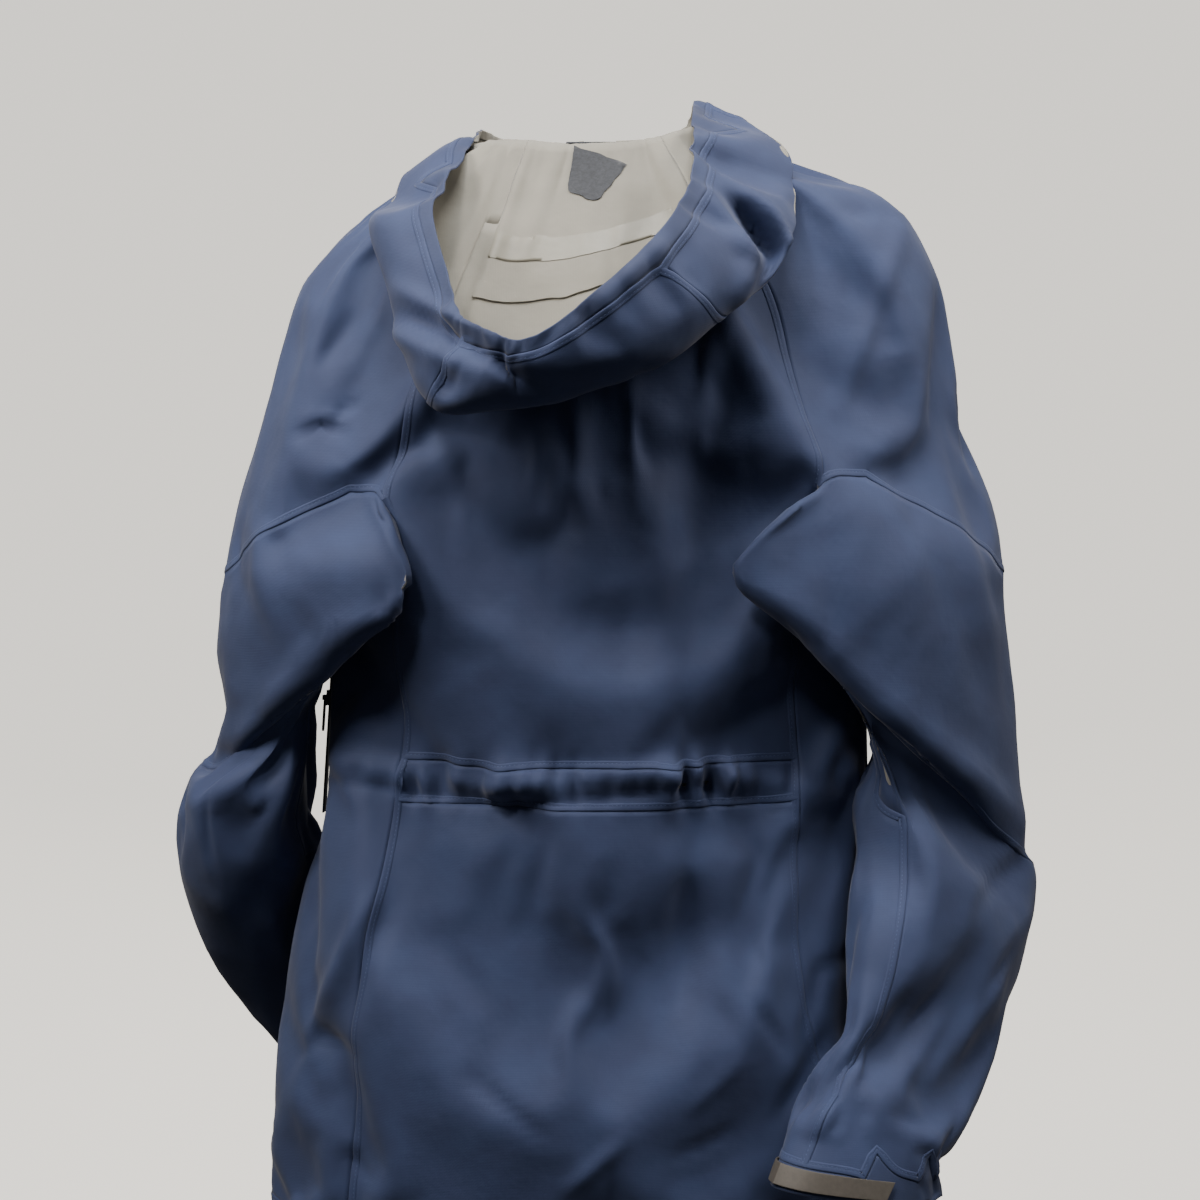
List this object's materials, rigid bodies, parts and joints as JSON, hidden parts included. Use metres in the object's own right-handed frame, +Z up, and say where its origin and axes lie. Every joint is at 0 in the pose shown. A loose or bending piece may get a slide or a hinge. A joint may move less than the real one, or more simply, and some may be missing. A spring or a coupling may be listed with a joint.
{
  "type": "hardshell jacket",
  "caption": "Hooded waterproof shell jacket hanging by its shoulders, sleeves folded behind and in front, with front, pit and pocket zips, waist drawcord channel and cuff tabs.",
  "frame": {"origin": "highest point of the neck, on the line of the hanger's shoulders", "axes": "+Z up, +Y towards the jacket's back, +X towards the wearer's left"},
  "size_m": [0.6727, 0.4496, 0.8479],
  "materials": {
    "face": "matte navy face cloth of a three-layer laminate",
    "face_dark": "matte, the same cloth folded double",
    "lining": "pale grey-beige knit backer and seam tape",
    "dark_trim": "charcoal brushed tricot",
    "cuff_tab": "matte taupe moulded tab",
    "zip_tape": "satin coated zip tape",
    "cord": "braided elastic cord",
    "black_plastic": "matte moulded",
    "slider_metal": "dark enamel"
  },
  "bodies": {
    "shell": {"back_yoke": "face", "back_panel": "face", "waist_channel": "face", "back_skirt": "face", "hood_centre": "face", "side_panel_left": "face", "front_panel_left": "face", "shoulder_left": "face", "upper_sleeve_left": "face", "under_sleeve_left": "face", "forearm_left": "face", "hood_side_left": "face", "collar_left": "face", "cuff_left": "face_dark", "pocket_bag_left": "lining", "front_zip_tape_left": "zip_tape", "pit_zip_left": "zip_tape", "pocket_zip_left": "zip_tape", "cord_lock_left_body": "black_plastic", "side_panel_right": "face", "front_panel_right": "face", "shoulder_right": "face", "upper_sleeve_right": "face", "under_sleeve_right": "face", "forearm_right": "face", "hood_side_right": "face", "collar_right": "face", "cuff_right": "face_dark", "pocket_bag_right": "lining", "front_zip_tape_right": "zip_tape", "pit_zip_right": "zip_tape", "pocket_zip_right": "zip_tape", "cord_lock_right_body": "black_plastic", "hem_band": "face_dark", "hood_binding": "face_dark", "hood_seam_tape": "lining", "hood_adjuster_tunnel": "lining", "waist_tunnel": "lining", "storm_flap": "lining", "waist_cord": "cord", "hem_cord": "cord", "front_zip_top_stop": "slider_metal", "front_zip_retainer_box": "slider_metal", "neck_patch": "dark_trim", "hang_loop": "dark_trim"},
    "front_zip_slider": {"front_zip_slider": "slider_metal"},
    "front_zip_pull": {"front_zip_pull": "black_plastic"},
    "pit_zip_left_slider": {"pit_zip_left_slider": "slider_metal"},
    "pit_zip_left_pull": {"pit_zip_left_pull": "black_plastic"},
    "pocket_zip_left_slider": {"pocket_zip_left_slider": "slider_metal"},
    "pocket_zip_left_pull": {"pocket_zip_left_pull": "black_plastic"},
    "cuff_tab_left": {"cuff_tab_left": "cuff_tab"},
    "cord_lock_left_button": {"cord_lock_left_button": "black_plastic"},
    "pit_zip_right_slider": {"pit_zip_right_slider": "slider_metal"},
    "pit_zip_right_pull": {"pit_zip_right_pull": "black_plastic"},
    "pocket_zip_right_slider": {"pocket_zip_right_slider": "slider_metal"},
    "pocket_zip_right_pull": {"pocket_zip_right_pull": "black_plastic"},
    "cuff_tab_right": {"cuff_tab_right": "cuff_tab"},
    "cord_lock_right_button": {"cord_lock_right_button": "black_plastic"}
  },
  "joints": [
    {"name": "front_zip_runs", "type": "slide", "parent": "shell", "child": "front_zip_slider", "axis": [0, 0.0283, 0.9996], "range_m": [-0.802, 0.002]},
    {"name": "front_pull_swings", "type": "hinge", "parent": "front_zip_slider", "child": "front_zip_pull", "pos_m": [0, -0.09263, -0.02686], "axis": [-1, 0, 0], "range_deg": [0, 140]},
    {"name": "pit_zip_left_runs", "type": "slide", "parent": "shell", "child": "pit_zip_left_slider", "axis": [-0.06, 0, 0.9982], "range_m": [-0.074, 0.07]},
    {"name": "pit_pull_left_swings", "type": "hinge", "parent": "pit_zip_left_slider", "child": "pit_zip_left_pull", "pos_m": [0.21166, 0, -0.45988], "axis": [0, -1, 0], "range_deg": [0, 18]},
    {"name": "pit_zip_right_runs", "type": "slide", "parent": "shell", "child": "pit_zip_right_slider", "axis": [0.0173, 0, 0.9999], "range_m": [-0.074, 0.07]},
    {"name": "pit_pull_right_swings", "type": "hinge", "parent": "pit_zip_right_slider", "child": "pit_zip_right_pull", "pos_m": [-0.20808, 0, -0.45993], "axis": [0, 1, 0], "range_deg": [0, 18]},
    {"name": "pocket_zip_left_runs", "type": "slide", "parent": "shell", "child": "pocket_zip_left_slider", "axis": [0, 0.0393, 0.9992], "range_m": [-0.134, 0.012]},
    {"name": "pocket_pull_left_swings", "type": "hinge", "parent": "pocket_zip_left_slider", "child": "pocket_zip_left_pull", "pos_m": [0.10132, -0.10306, -0.60994], "axis": [-0.9578, -0.2873, 0.0113], "range_deg": [0, 110]},
    {"name": "pocket_zip_right_runs", "type": "slide", "parent": "shell", "child": "pocket_zip_right_slider", "axis": [0, 0.0419, 0.9991], "range_m": [-0.134, 0.012]},
    {"name": "pocket_pull_right_swings", "type": "hinge", "parent": "pocket_zip_right_slider", "child": "pocket_zip_right_pull", "pos_m": [-0.10132, -0.10089, -0.60994], "axis": [-0.9578, 0.2873, -0.012], "range_deg": [0, 110]},
    {"name": "cuff_tab_left_peels", "type": "hinge", "parent": "shell", "child": "cuff_tab_left", "pos_m": [0.1968, -0.19905, -0.81775], "axis": [0.5513, 0.2972, 0.7796], "range_deg": [0, 100]},
    {"name": "cuff_tab_right_peels", "type": "hinge", "parent": "shell", "child": "cuff_tab_right", "pos_m": [-0.1986, 0.18445, -0.7883], "axis": [-0.4732, -0.3827, 0.7934], "range_deg": [0, 100]},
    {"name": "cord_lock_left_presses", "type": "slide", "parent": "shell", "child": "cord_lock_left_button", "axis": [0, 0, -1], "range_m": [0, 0.003], "stiffness_N_per_m": 100},
    {"name": "cord_lock_right_presses", "type": "slide", "parent": "shell", "child": "cord_lock_right_button", "axis": [0, 0, -1], "range_m": [0, 0.003], "stiffness_N_per_m": 100}
  ]
}
